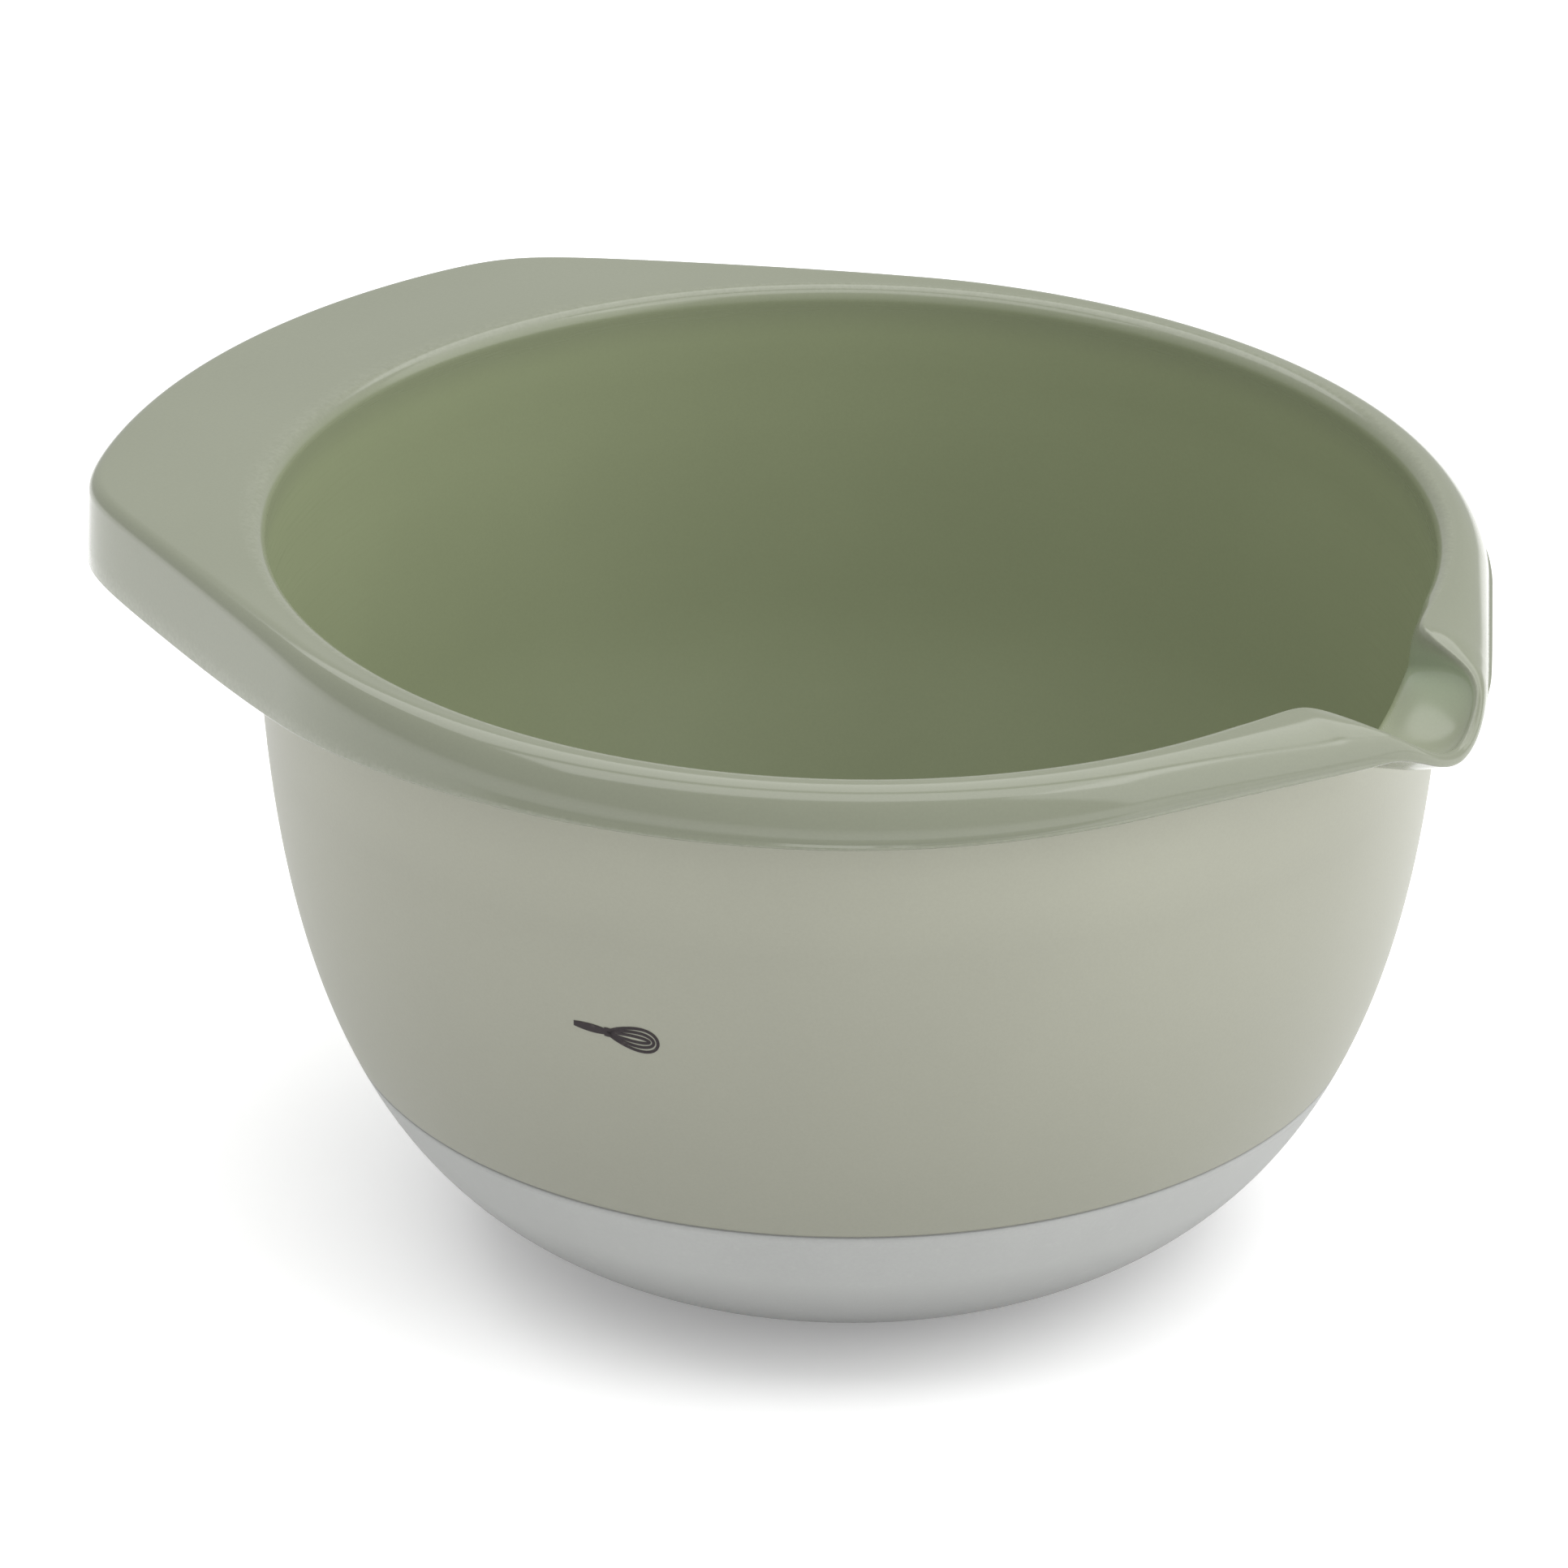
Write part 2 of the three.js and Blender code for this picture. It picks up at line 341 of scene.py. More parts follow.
def bell(angle, half):
    """1 on the spout's centre line, falling smoothly to 0 at the half angle."""
    share = np.minimum(np.abs(angle) / half, 1.0)
    return np.cos(share * np.pi / 2) ** 2


def flange_share(angle):
    """1 across the grip flange, falling smoothly to 0 along the round rim."""
    return 1.0 / (1.0 + ((np.pi - np.abs(angle)) / FLANGE_SHARE_ANGLE) ** FLANGE_SHARE_POWER)


def skirt_bottom(angle):
    """Height of the skirt's lower edge: deeper under the flange and under the spout's lip."""
    plain = mix(SKIRT_BOTTOM, FLANGE_SKIRT_BOTTOM, flange_share(angle))
    near_spout = 1.0 - smooth(np.degrees(np.abs(angle)), *SPOUT_SKIRT_ENDS)
    return mix(plain, SPOUT_SKIRT_BOTTOM, near_spout) - SPOUT_SKIRT_DROP * bell(angle, SPOUT_SKIRT_ANGLE)


def arc(centre_r, centre_z, radius_r, radius_z, start, end, steps):
    """Points of an elliptical arc between two angles in degrees, without its first one."""
    angles = np.radians(np.linspace(start, end, steps + 1)[1:])
    return [(centre_r + radius_r * math.cos(a), centre_z + radius_z * math.sin(a)) for a in angles]


def line(p, q, steps):
    """Points of a straight line, without its first one."""
    return [(mix(p[0], q[0], i / steps), mix(p[1], q[1], i / steps)) for i in range(1, steps + 1)]


def curve(p0, p1, p2, p3, steps):
    """Points of a cubic Bezier curve, without its first one."""
    return [tuple(cubic(p0, p1, p2, p3, i / steps)) for i in range(1, steps + 1)]


def offset_rows(rows, depth):
    """The rows moved outward by depth, at right angles to the line they make."""
    r = np.array([p[0] for p in rows])
    z = np.array([p[1] for p in rows])
    dr, dz = np.gradient(r, axis=0), np.gradient(z, axis=0)
    length = np.hypot(dr, dz)
    return list(zip(r + dz / length * depth, z - dr / length * depth))


def mix_rows(a, b, share):
    """Each row at a share of the way from its place in a to its place in b."""
    return [(mix(p[0], q[0], share), mix(p[1], q[1], share)) for p, q in zip(a, b)]


def sample_rows(rows, share):
    """The point at a share of the way along evenly spaced rows."""
    place = share * (len(rows) - 1)
    low = min(int(place), len(rows) - 2)
    return mix_rows([rows[low]], [rows[low + 1]], place - low)[0]


class Section:
    """Rows of (radius, height) at each station, and how much of each zone's finish every row has."""

    def __init__(self, zero):
        self.zero = zero
        self.rows = []
        self.zones = {"inside": [], "wall": [], "gutter": [], "edge": [], "painted_shade_line": []}

    def add(self, rows, inside=0.0, wall=0.0, gutter=0.0, edge=0.0, painted_shade_line=0.0):
        """Each share is one value, or one value for each new row."""
        self.rows += rows
        for name, share in zip(self.zones, (inside, wall, gutter, edge, painted_shade_line)):
            shares = share if isinstance(share, list) else [share] * len(rows)
            self.zones[name] += [self.zero + value for value in shares]


def shell_section(angle):
    """The shell's radial section at each station, from the middle of the floor up the inside, over the rim,
    down the outside and back to the axis."""
    zero = np.zeros_like(angle)
    degrees = np.degrees(np.abs(angle))
    lip = 1.0 / (1.0 + (np.abs(angle) / LIP_ANGLE) ** LIP_POWER)
    side = np.where(degrees < SIDE_END, np.sin(np.abs(angle)) * GUTTER_LENGTH_RADIUS, GUTTER_HALF_WIDTH)
    side_share = np.minimum(side, GUTTER_HALF_WIDTH) / GUTTER_HALF_WIDTH
    in_gutter = 1.0 - smooth(degrees, *GUTTER_ENDS)
    gutter_height = GUTTER_LOW + GUTTER_RISE * side_share**GUTTER_POWER
    cheek = 1.0 - smooth(degrees, *CHEEK_ENDS)

    outer = rim_radius(angle)
    bead = mix(INNER_BEAD, LIP_BEAD, lip)
    bead_height = mix(INNER_BEAD + CHEEK_ROUND * cheek, LIP_BEAD, lip)
    crest = mix(MOUTH_RADIUS + INNER_BEAD, outer - LIP_BEAD, lip)
    crest_height = RIM_TOP - LIP_DROP * bell(angle, DIP_ANGLE)
    flange = flange_share(angle)
    outer_bead = mix(OUTER_BEAD_SHARE * (outer - crest), FLANGE_BEAD, flange)
    top_end = outer - outer_bead
    flange_height = FLANGE_TOP - FLANGE_FALL * (top_end - crest)
    outer_height = mix(crest_height - CREST_FALL, flange_height, flange)
    bottom = skirt_bottom(angle)
    room_below = outer_height - bottom - SKIRT_EDGE - SKIRT_ROOM
    outer_bead_height = np.minimum(mix(OUTER_BEAD_HEIGHT, FLANGE_BEAD, flange), room_below)
    top_parameter = outline_parameter(BASE_TOP)

    section = Section(zero)
    flat = FOOT_RADIUS * FLAT_SHARE
    rows = [(zero + flat * i / FLOOR_ROWS, zero + FLOOR) for i in range(FLOOR_ROWS + 1)]
    for i in range(INSIDE_ROWS, 0, -1):
        t = i / INSIDE_ROWS
        height = outline_point(t)[1]
        inset = mix(WALL, FLOOR, float(smooth(THICKENING_TOP - height, 0.0, THICKENING_TOP - BASE_TOP)))
        r, z = outline_point(t, inset)
        rows.append((zero + r, zero + z))

    # Inside: the collar, opening outward into the spout's gutter, then the rim's inner round.
    foot_height = mix(zero + COLLAR_TOP, gutter_height - GUTTER_FOOT_DROP, in_gutter)
    foot = (zero + MOUTH_RADIUS - COLLAR_INSET, foot_height)
    rows += line((zero + WALL_TOP_RADIUS - WALL, zero + WALL_TOP - COLLAR_DROP), foot, COLLAR_ROWS)
    turn = mix(90.0, LIP_TURN, lip)
    turned_r, turned_z = np.cos(np.radians(turn)), np.sin(np.radians(turn))
    top = (crest - bead * turned_z, crest_height - bead_height + bead_height * turned_r)
    rise = (top[1] - foot[1]) / 3
    edge = (foot[0], foot[1] + mix(rise, LIP_LIFT, lip))
    reach = (top[0] - LIP_REACH * turned_r, top[1] - mix(rise, LIP_REACH, lip) * turned_z)
    gutter = curve(foot, edge, reach, top, GUTTER_ROWS)
    section.add(rows, inside=1.0)

    # The inside's finish fades out over the rows below the inner round and over the round itself. In the
    # gutter it fades sooner, and the cheeks get the gutter's gloss and its painted light.
    in_cheek = in_gutter * smooth(degrees, *GUTTER_GLOSS_AND_PAINTED_LIGHT_STARTS)
    gutter_inside, gutter_gloss_and_painted_light = [], []
    for i in range(1, GUTTER_ROWS + 1):
        from_wall = 1.0 - GUTTER_FADE * in_gutter * smooth(i, *GUTTER_FADE_ROWS)
        gutter_inside.append(from_wall * (1.0 - RIM_FADE * smooth(i, *RIM_FADE_ROWS)))
        gutter_gloss_and_painted_light.append(in_cheek * smooth(i, *GUTTER_GLOSS_AND_PAINTED_LIGHT_ROWS))
    section.add(gutter, inside=gutter_inside, gutter=gutter_gloss_and_painted_light)
    rows, bead_inside, bead_gloss_and_painted_light, bead_edge = [], [], [], []
    for i in range(1, BEAD_ROWS + 1):
        bead_angle = np.radians(mix(turn + 90.0, 90.0, i / BEAD_ROWS))
        bead_centre = crest_height - bead_height
        rows.append((crest + bead * np.cos(bead_angle), bead_centre + bead_height * np.sin(bead_angle)))
        from_gutter = (1.0 - RIM_FADE) * (1.0 - GUTTER_FADE * in_gutter)
        bead_inside.append(from_gutter * (1.0 - smooth(i, *BEAD_INSIDE_ROWS)))
        bead_gloss_and_painted_light.append(in_cheek * (1.0 - smooth(i, *BEAD_GLOSS_AND_PAINTED_LIGHT_ROWS)))
        bead_edge.append(BEAD_WEAR * smooth(i, *BEAD_WEAR_ROWS))
    section.add(rows, inside=bead_inside, gutter=bead_gloss_and_painted_light, edge=bead_edge)

    # Top of the rim and its outer round.
    start = rows[-1]
    end = (top_end, outer_height)
    leave = (mix(start[0], end[0], RIM_HANDLE), start[1])
    arrive = (mix(start[0], end[0], 1.0 - RIM_HANDLE), mix(start[1], end[1], RIM_HANDLE_FALL))
    section.add(curve(start, leave, arrive, end, RIM_ROWS))
    bead_foot = outer_height - outer_bead_height
    section.add(arc(top_end, bead_foot, outer_bead, outer_bead_height, 90, 0, OUTER_BEAD_ROWS))

    # Skirt and its lower edge.
    skirt = outer + mix(SKIRT_FLARE, 0.0, lip)
    edge_height = bottom + SKIRT_EDGE
    section.add(line(section.rows[-1], (skirt, edge_height), SKIRT_ROWS), edge=[0.0, 0.0, 0.2, 1.0])
    # Painted shade along the skirt's lower round edge
    round_edge = arc(skirt - SKIRT_EDGE, edge_height, SKIRT_EDGE, SKIRT_EDGE, 0, -90, 3)
    section.add(round_edge, painted_shade_line=[0.2, 0.8, 1.0])

    # Inner face of the skirt and the underside of the rim, closing up towards the spout's lip.
    outside = offset_rows([foot] + gutter, WALL)[::-1]
    hollow = np.clip(outer_bead - WALL, HOLLOW_LEAST, FLANGE_BEAD)
    hollow_height = np.clip(outer_bead_height - WALL, HOLLOW_LEAST, HOLLOW_HEIGHT)
    hollow_foot = outer_height - WALL - hollow_height
    root = outside[0]
    edge_end = section.rows[-1]
    small = SKIRT_INNER_EDGE
    inner_face = [(skirt - WALL + small, bottom)]
    inner_face += arc(skirt - WALL + small, bottom + small, small, small, -90, -180, 2)
    inner_face += line(inner_face[-1], (outer - WALL, np.maximum(hollow_foot, edge_height)), 2)
    inner_face += arc(outer - WALL - hollow, hollow_foot, hollow, hollow_height, 0, 90, 4)
    inner_face += line(inner_face[-1], (root[0] + ROOT_ROOM, crest_height - WALL), 2)
    closed = 1.0 - smooth(outer - WALL - root[0], CLOSED_ROOM, OPEN_ROOM)
    shut_face = line(edge_end, sample_rows(outside, SHUT_SHARE), len(inner_face))
    section.add(mix_rows(inner_face, shut_face, closed))
    count = len(outside)
    open_wall = [sample_rows(outside, i / (count - 1)) for i in range(count)]
    shut_wall = [sample_rows(outside, mix(SHUT_SHARE, 1.0, (i + 1) / count)) for i in range(count)]
    fading_in = [float(smooth(i, *WALL_FADE_ROWS)) for i in range(count)]
    section.add(mix_rows(open_wall, shut_wall, closed), wall=fading_in)
    section.add(line(section.rows[-1], (zero + WALL_TOP_RADIUS, zero + WALL_TOP), 2), wall=1.0)

    # Outside: the wall, the step down to the base cup and the foot inside the cup.
    # Painted shade on the wall's last rows, over the gap to the base cup
    shares = [i / WALL_ROWS for i in range(1, WALL_ROWS)] + [PAINTED_LINE_START, 1.0]
    outline_rows = [outline_point(top_parameter * share) for share in shares]
    for i in range(FOOT_ROWS + 1):
        outline_rows.append(outline_point(mix(top_parameter, 1.0, i / FOOT_ROWS), BASE_WALL + GAP))
    outline_rows.append((0.0, BASE_WALL + GAP))
    painted_shade_line = [0.0] * WALL_ROWS + [1.0, 1.0] + [0.0] * (FOOT_ROWS + 1)
    section.add([(zero + r, zero + z) for r, z in outline_rows], wall=1.0, painted_shade_line=painted_shade_line)
    return section


def base_section(angle):
    """The base cup's radial section at each station."""
    zero = np.zeros_like(angle)
    section = Section(zero)
    top = outline_parameter(BASE_TOP - BASE_ROUND)
    rows = [(0.0, BASE_WALL), (FOOT_RADIUS / 2, BASE_WALL)]
    for i in range(BASE_INSIDE_ROWS, -1, -1):
        rows.append(outline_point(mix(top, 1.0, i / BASE_INSIDE_ROWS), BASE_WALL))
    for i in range(BASE_OUTSIDE_ROWS + 1):
        rows.append(outline_point(mix(top, 1.0, i / BASE_OUTSIDE_ROWS)))
    rows += [(FOOT_RADIUS / 2, 0.0), (0.0, 0.0)]
    section.add([(zero + r, zero + z) for r, z in rows])
    return section


def station_angles():
    """Angles round the axis, closer together at the spout."""
    even = np.pi - np.arange(STATIONS) / STATIONS * 2 * np.pi
    return even - CROWDING * np.sin(even) - DOUBLE_CROWDING * np.sin(2 * even)


def swept_mesh(name, section_at, sloped):
    """A closed mesh whose radial section changes with the angle, with its zones as attributes."""
    angle = station_angles()
    section = section_at(angle)
    rows = section.rows
    radius = np.array([r for r, _ in rows])
    height = np.array([z for _, z in rows])
    x, y = radius * np.cos(angle), radius * np.sin(angle)
    if sloped:
        ramp = np.clip((height - SLOPE_START) / (SLOPE_END - SLOPE_START), 0.0, 1.0)
        height = height - RIM_SLOPE * x * ramp
    points = np.stack([x, y, height], axis=-1) * MM
    count = len(rows)
    vertices = np.vstack([points[0, 0], points[-1, 0], points[1:-1].reshape(-1, 3)])
    faces = []
    for s in range(STATIONS):
        n = (s + 1) % STATIONS
        here, there = 2 + s, 2 + n
        faces.append((0, there, here))
        for _ in range(1, count - 2):
            faces.append((here, there, there + STATIONS, here + STATIONS))
            here, there = here + STATIONS, there + STATIONS
        faces.append((here, there, 1))
    mesh = bpy.data.meshes.new(name)
    mesh.from_pydata(vertices.tolist(), [], faces)
    mesh.update()
    mesh.shade_smooth()
    for zone, shares in section.zones.items():
        grid = np.array(shares)
        values = np.concatenate([[grid[0, 0], grid[-1, 0]], grid[1:-1].ravel()])
        mesh.attributes.new(zone, "FLOAT", "POINT").data.foreach_set("value", values.astype(np.float32))
    piece = bpy.data.objects.new(name, mesh)
    bpy.context.scene.collection.objects.link(piece)
    return piece


def print_point(across, up, lift):
    """A point of the print, laid on the outside of the wall."""
    height = PRINT_HEIGHT + across * math.sin(PRINT_TURN) + up * math.cos(PRINT_TURN)
    radius = outline_point(outline_parameter(height))[0]
    angle = PRINT_ANGLE + (across * math.cos(PRINT_TURN) - up * math.sin(PRINT_TURN)) / radius
    raised = (radius + lift) * MM
    return [raised * math.cos(angle), raised * math.sin(angle), height * MM]


def add_stroke(mesh, points, half_widths, closed):
    """A thin printed line with a flat rectangular section along the points."""
    count = len(points)
    sections = []
    for i, (across, up) in enumerate(points):
        before = points[(i - 1) % count if closed else max(i - 1, 0)]
        after = points[(i + 1) % count if closed else min(i + 1, count - 1)]
        run, rise = after[0] - before[0], after[1] - before[1]
        length = math.hypot(run, rise)
        side, top = -rise / length * half_widths[i], run / length * half_widths[i]
        corners = [(across + side, up + top), (across - side, up - top)]
        low, high = PRINT_LIFT, PRINT_LIFT + PRINT_THICKNESS
        places = [print_point(*corners[0], low), print_point(*corners[0], high)]
        places += [print_point(*corners[1], high), print_point(*corners[1], low)]
        sections.append([mesh.verts.new(place) for place in places])
    for i in range(count if closed else count - 1):
        here, there = sections[i], sections[(i + 1) % count]
        for k in range(4):
            mesh.faces.new((here[k], there[k], there[(k + 1) % 4], here[(k + 1) % 4]))
    if not closed:
        mesh.faces.new(sections[0])
        mesh.faces.new(sections[-1][::-1])


def wire_loop(length, half):
    """Points round one wire of the whisk, fuller at its far end."""
    turns = [k / WIRE_POINTS * 2 * math.pi for k in range(WIRE_POINTS)]
    along = [length * (1 - math.cos(a)) / 2 for a in turns]
    aside = [half * math.sin(a) * (WIRE_FULLNESS - WIRE_TAPER * math.cos(a)) for a in turns]
    return list(zip(along, aside))


def whisk_print():
    """The printed whisk: three wires, a handle that is thickest in its middle, and a collar between them."""
    mesh = bmesh.new()
    for i, half in enumerate(WHISK_HALF_WIDTHS):
        wire = wire_loop(WHISK_LENGTH - WIRE_STEP * i, half)
        add_stroke(mesh, wire, [WIRE_HALF_THICKNESS] * WIRE_POINTS, True)
    shares = [i / HANDLE_STEPS for i in range(HANDLE_STEPS + 1)]
    handle = [(-HANDLE_START - HANDLE_LENGTH * share, 0.0) for share in shares]
    bulges = [math.sin(math.pi * mix(HANDLE_BULGE_START, HANDLE_BULGE_END, share)) for share in shares]
    add_stroke(mesh, handle, [HANDLE_HALF_THICKNESS + HANDLE_BULGE * bulge for bulge in bulges], False)
    add_stroke(mesh, [(across, 0.0) for across in COLLAR_PLACES], COLLAR_HALF_THICKNESSES, False)
    bmesh.ops.recalc_face_normals(mesh, faces=mesh.faces)
    data = bpy.data.meshes.new("whisk_print")
    mesh.to_mesh(data)
    mesh.free()
    piece = bpy.data.objects.new("whisk_print", data)
    bpy.context.scene.collection.objects.link(piece)
    return piece


class Nodes:
    """Builds one material's node tree. Texture sizes are in metres of the object."""

    def __init__(self, name):
        self.material = bpy.data.materials.new(name)
        self.material.use_nodes = True
        self.tree = self.material.node_tree
        self.shader = self.tree.nodes["Principled BSDF"]
        self.place = self.tree.nodes.new("ShaderNodeTexCoord").outputs["Object"]

    def link(self, source, socket):
        """Joins a socket to a source, or gives it a plain value."""
        if isinstance(source, bpy.types.NodeSocket):
            self.tree.links.new(source, socket)
        else:
            socket.default_value = source

    def share(self, name):
        """A zone's share, kept on the mesh."""
        node = self.tree.nodes.new("ShaderNodeAttribute")
        node.attribute_name = name
        return node.outputs["Fac"]

    def stretched(self, scale):
        """The place on the object, scaled along each axis."""
        node = self.tree.nodes.new("ShaderNodeMapping")
        self.tree.links.new(self.place, node.inputs["Vector"])
        node.inputs["Scale"].default_value = scale
        return node.outputs["Vector"]

    def height(self):
        """The height above the floor."""
        node = self.tree.nodes.new("ShaderNodeSeparateXYZ")
        self.tree.links.new(self.place, node.inputs["Vector"])
        return node.outputs["Z"]

    def noise(self, size, detail=2.0, place=None):
        """Noise with patches of about this size."""
        node = self.tree.nodes.new("ShaderNodeTexNoise")
        self.tree.links.new(place or self.place, node.inputs["Vector"])
        node.inputs["Scale"].default_value = 1.0 / size
        node.inputs["Detail"].default_value = detail
        return node.outputs["Fac"]

    def remap(self, value, low, high, to_low, to_high):
        """The value's range from low to high, stretched to a new range and held at its ends."""
        node = self.tree.nodes.new("ShaderNodeMapRange")
        self.tree.links.new(value, node.inputs["Value"])
        for socket, limit in (("From Min", low), ("From Max", high), ("To Min", to_low), ("To Max", to_high)):
            node.inputs[socket].default_value = limit
        return node.outputs["Result"]

    def varied(self, noise, low, high):
        """A number that follows the noise from low to high."""
        return self.remap(noise, NOISE_LOW, NOISE_HIGH, low, high)

    def math(self, operation, a, b):
        """The result of a sum on two numbers or sockets."""
        node = self.tree.nodes.new("ShaderNodeMath")
        node.operation = operation
        self.link(a, node.inputs[0])
        self.link(b, node.inputs[1])
        return node.outputs["Value"]

    def blend(self, a, b, share):
        """A number between a and b."""
        node = self.tree.nodes.new("ShaderNodeMix")
        self.link(share, node.inputs["Factor"])
        self.link(a, node.inputs["A"])
        self.link(b, node.inputs["B"])
        return node.outputs["Result"]

    def colour(self, a, b, share):
        """A colour between a and b."""
        node = self.tree.nodes.new("ShaderNodeMixRGB")
        self.link(share, node.inputs["Fac"])
        self.link(a if isinstance(a, bpy.types.NodeSocket) else (*a, 1.0), node.inputs["Color1"])
        self.link(b if isinstance(b, bpy.types.NodeSocket) else (*b, 1.0), node.inputs["Color2"])
        return node.outputs["Color"]

    def shaded(self, colour, value):
        """The colour made lighter or darker by a value near 1."""
        node = self.tree.nodes.new("ShaderNodeVectorMath")
        node.operation = "SCALE"
        self.link(colour, node.inputs["Vector"])
        self.link(value, node.inputs["Scale"])
        return node.outputs["Vector"]

    def bump(self, height, strength, depth, normal=None):
        """A fine relief, on top of another one if given."""
        node = self.tree.nodes.new("ShaderNodeBump")
        self.link(height, node.inputs["Height"])
        self.link(strength, node.inputs["Strength"])
        node.inputs["Distance"].default_value = depth
        if normal:
            self.tree.links.new(normal, node.inputs["Normal"])
        return node.outputs["Normal"]

    def finish(self, colour, roughness, normal):
        """The material, with its colour, roughness and relief joined to the shader."""
        self.link(colour, self.shader.inputs["Base Color"])
        self.link(roughness, self.shader.inputs["Roughness"])
        self.link(normal, self.shader.inputs["Normal"])
        return self.material


def shell_material():
    """Moulded plastic: a glossy rim, a satin outer wall with fine grain, a deeper, softly scuffed inside and
    a glossier gutter. The colour holds painted light on the gutter's cheeks and just under the rim, and
    painted shade towards the bottom, along the skirt's lower edge and on the line over the base."""
    n = Nodes("shell_plastic")
    inside, wall, edge, painted_shade_line = n.share("inside"), n.share("wall"), n.share("edge"), n.share("painted_shade_line")
    gutter = n.share("gutter")
    clouds = n.noise(CLOUD_SIZE, 3.0)
    grain = n.noise(GRAIN_SIZE, 1.0)
    ripple = n.noise(RIPPLE_SIZE, 1.0)
    scuffs = n.noise(SCUFF_SIZE, 3.0, n.stretched((1.0, 1.0, SCUFF_FLATNESS)))
    worn = n.math("MULTIPLY", edge, n.remap(n.noise(WEAR_SIZE, 3.0), 0.35, 0.75, 0.0, WEAR_SHARE))

    colour = n.colour(n.colour(RIM_COLOUR, INSIDE_COLOUR, inside), WALL_COLOUR, wall)
    # Painted light: the gutter's lighter colour lifts the shade on the spout's cheeks
    colour = n.colour(colour, GUTTER_COLOUR_WITH_PAINTED_LIGHT, gutter)
    # Painted shade: the colour darker towards the bottom, inside and out, from the foot up to the collar
    colour = n.shaded(colour, n.remap(n.height(), FOOT_HEIGHT, COLLAR_HEIGHT, LOW_PAINTED_SHADE, 1.0))
    # Painted light: the wall lighter just under the rim, where the rim's shade falls
    under_rim_painted_light = n.remap(n.height(), UNDER_RIM_START, UNDER_RIM_END, 0.0, UNDER_RIM_PAINTED_LIGHT)
    lighter = n.math("ADD", n.math("MULTIPLY", wall, under_rim_painted_light), 1.0)
    # Painted shade along the skirt's lower edge and the line over the base cup
    colour = n.shaded(colour, n.math("SUBTRACT", lighter, n.math("MULTIPLY", painted_shade_line, PAINTED_LINE_SHADE)))
    colour = n.shaded(colour, n.varied(clouds, 0.975, 1.025))
    colour = n.shaded(colour, n.varied(grain, 0.985, 1.015))
    colour = n.colour(colour, WORN_COLOUR, worn)

    roughness = n.blend(n.blend(RIM_ROUGHNESS, INSIDE_ROUGHNESS, inside), WALL_ROUGHNESS, wall)
    roughness = n.blend(roughness, GUTTER_ROUGHNESS, gutter)
    roughness = n.math("ADD", roughness, n.varied(clouds, -0.02, 0.03))
    scuffed = n.remap(scuffs, 0.5, 0.75, 0.0, SCUFF_ROUGHNESS)
    roughness = n.math("ADD", roughness, n.math("MULTIPLY", inside, scuffed))
    roughness = n.math("ADD", roughness, n.math("MULTIPLY", worn, WEAR_ROUGHNESS))

    normal = n.bump(ripple, n.blend(RIM_RIPPLE, GUTTER_RIPPLE, gutter), RIPPLE_DEPTH)
    grain_strength = n.math("ADD", n.math("MULTIPLY", wall, WALL_GRAIN), RIM_GRAIN)
    normal = n.bump(grain, grain_strength, GRAIN_DEPTH, normal)
    return n.finish(colour, roughness, normal)


def base_material():
    """Soft light grey rubber with a fine grain, a little smoother where it stands, and painted shade
    darkening it there.
    """
    n = Nodes("base_rubber")
    # Painted shade: the cup's colour darker near the floor; the same band is also a little smoother
    low = n.remap(n.height(), FOOT_HEIGHT, FOOT_HEIGHT + BASE_PAINTED_SHADE_BAND, 1.0, 0.0)
    clouds = n.noise(BASE_CLOUD_SIZE, 3.0)
    grain = n.noise(BASE_GRAIN_SIZE, 2.0)
    dust = n.remap(n.noise(DUST_SIZE, 4.0), 0.6, 0.75, 0.0, DUST_SHARE)
    colour = n.shaded(n.colour(BASE_COLOUR, BASE_DUST, dust), n.varied(clouds, 0.97, 1.03))
    colour = n.shaded(colour, n.varied(grain, 0.97, 1.03))
    colour = n.colour(colour, BASE_PAINTED_SHADE, n.math("MULTIPLY", low, BASE_PAINTED_SHADE_SHARE))
    roughness = n.math("ADD", n.varied(grain, 0.58, 0.7), n.math("MULTIPLY", low, -0.08))
    return n.finish(colour, roughness, n.bump(grain, 0.3, BASE_GRAIN_DEPTH))


def print_material():
    """Dark printing ink, slightly uneven."""
    n = Nodes("print_ink")
    n.shader.inputs["Specular IOR Level"].default_value = PRINT_SPECULAR
    patches = n.noise(INK_PATCH_SIZE, 3.0)
    colour = n.colour(PRINT_COLOUR, WALL_COLOUR, n.remap(patches, 0.6, 0.8, 0.0, 0.15))
    colour = n.shaded(colour, n.varied(patches, 0.9, 1.1))
    normal = n.bump(n.noise(INK_GRAIN_SIZE), 0.1, INK_GRAIN_DEPTH)
    return n.finish(colour, n.varied(patches, 0.35, 0.5), normal)


def floor_material():
    """A pale studio table, lit a little from within."""
    n = Nodes("floor_pale")
    n.shader.inputs["Emission Color"].default_value = WHITE
    n.shader.inputs["Emission Strength"].default_value = FLOOR_GLOW
    colour = n.shaded(FLOOR_COLOUR, n.varied(n.noise(FLOOR_CLOUD_SIZE), 0.995, 1.0))
    roughness = n.varied(n.noise(FLOOR_PATCH_SIZE), 0.85, 0.95)
    return n.finish(colour, roughness, n.bump(n.noise(FLOOR_GRAIN_SIZE), 0.02, FLOOR_GRAIN_DEPTH))


def finish_piece(piece, material, node=None):
    """Gives a piece its material and body, and hides the CAD part it stands for, if there is one."""
    piece.data.materials.append(material)
    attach(piece, "root")
    if node:
        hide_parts(node)


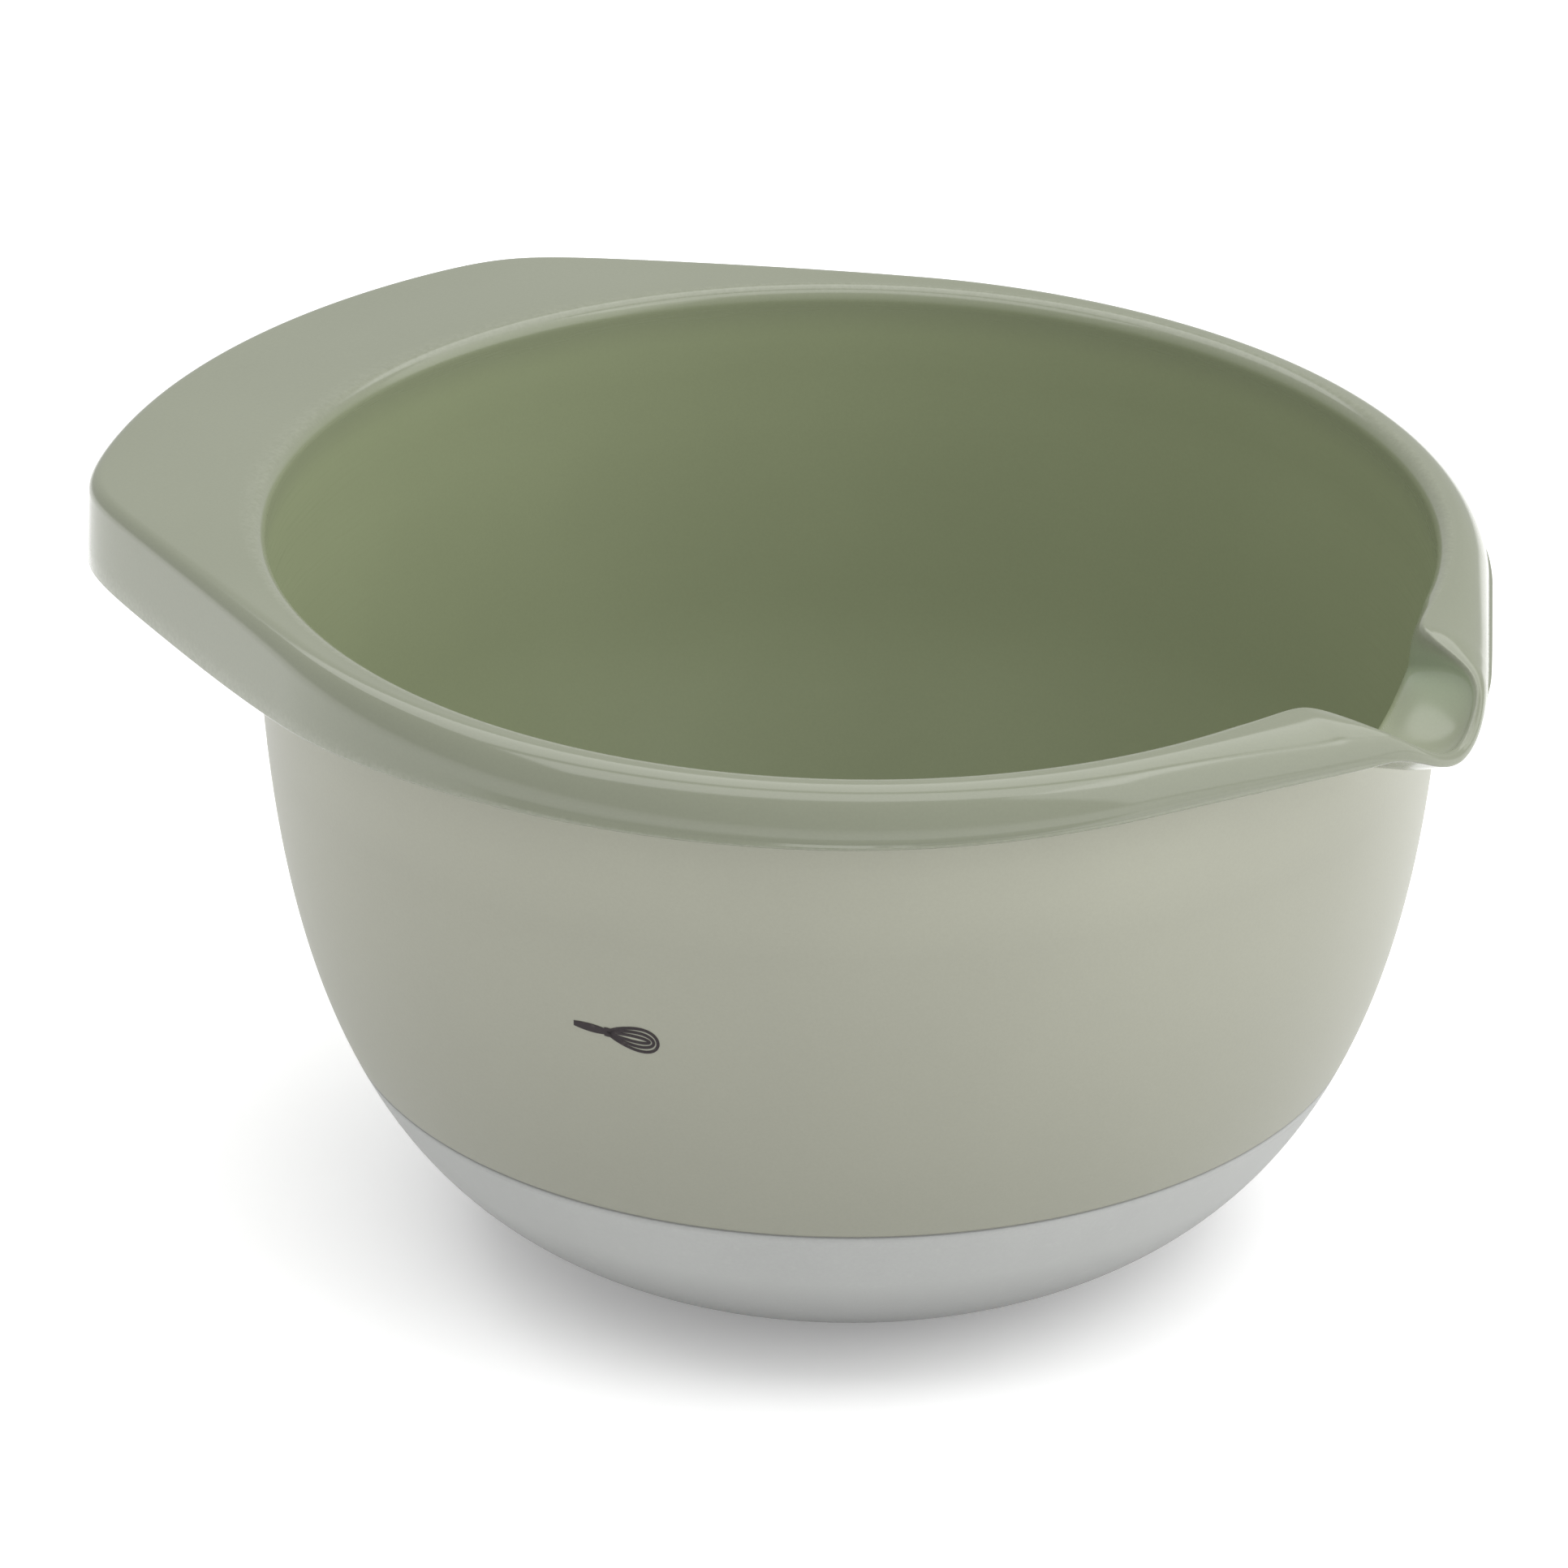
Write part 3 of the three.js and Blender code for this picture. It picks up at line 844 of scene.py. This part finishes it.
def view_sides():
    """The level directions to the right of the view and away from it."""
    right = Vector((math.cos(VIEW_TURN), math.sin(VIEW_TURN), 0.0))
    away = Vector((-math.sin(VIEW_TURN), math.cos(VIEW_TURN), 0.0))
    return right, away


def make_camera():
    """A long lens above the spout's side, aimed a little below and beside the rim's centre."""
    right, away = view_sides()
    direction = away * -math.cos(VIEW_HEIGHT) + Vector((0.0, 0.0, math.sin(VIEW_HEIGHT)))
    up = direction.cross(right)
    data = bpy.data.cameras.new("camera")
    data.sensor_width = SENSOR
    data.lens = LENS
    camera = bpy.data.objects.new("camera", data)
    bpy.context.scene.collection.objects.link(camera)
    camera.location = VIEW_CENTRE + direction * VIEW_DISTANCE
    aim = VIEW_CENTRE - right * AIM_LEFT - up * AIM_DOWN
    camera.rotation_euler = (aim - camera.location).to_track_quat("-Z", "Y").to_euler()
    bpy.context.scene.camera = camera


def make_light(name, place, size, power):
    """A rectangular panel that faces the bowl."""
    data = bpy.data.lights.new(name, "AREA")
    data.shape = "RECTANGLE"
    data.size, data.size_y = size
    data.energy = power
    light = bpy.data.objects.new(name, data)
    light.location = place
    light.rotation_euler = (PANEL_TARGET - place).to_track_quat("-Z", "Y").to_euler()
    bpy.context.scene.collection.objects.link(light)


def make_stage():
    """The pale floor, just under the foot, and an even white surround."""
    mesh = bpy.data.meshes.new("floor")
    half = FLOOR_SIZE / 2
    corners = [(-half, -half), (half, -half), (half, half), (-half, half)]
    mesh.from_pydata([(x, y, FOOT_HEIGHT - FLOOR_GAP) for x, y in corners], [], [(0, 1, 2, 3)])
    floor = bpy.data.objects.new("floor", mesh)
    bpy.context.scene.collection.objects.link(floor)
    mesh.materials.append(floor_material())
    world = bpy.data.worlds.new("studio")
    world.use_nodes = True
    background = world.node_tree.nodes["Background"]
    background.inputs["Color"].default_value = WHITE
    background.inputs["Strength"].default_value = WORLD_STRENGTH
    bpy.context.scene.world = world


def make_lights():
    """The studio panels. A panel's power is its radiance times pi times its area."""
    right, away = view_sides()
    for name, (across, back, up), size, radiance in PANELS:
        place = right * across + away * back + Vector((0.0, 0.0, up))
        make_light(name, place, size, radiance * math.pi * size[0] * size[1])


finish_piece(swept_mesh("shell", shell_section, True), shell_material(), "bowl_shell")
finish_piece(swept_mesh("base_cup", base_section, False), base_material(), "non_slip_base")
finish_piece(whisk_print(), print_material())
make_stage()
make_lights()
make_camera()
bpy.context.scene.view_settings.view_transform = "Standard"
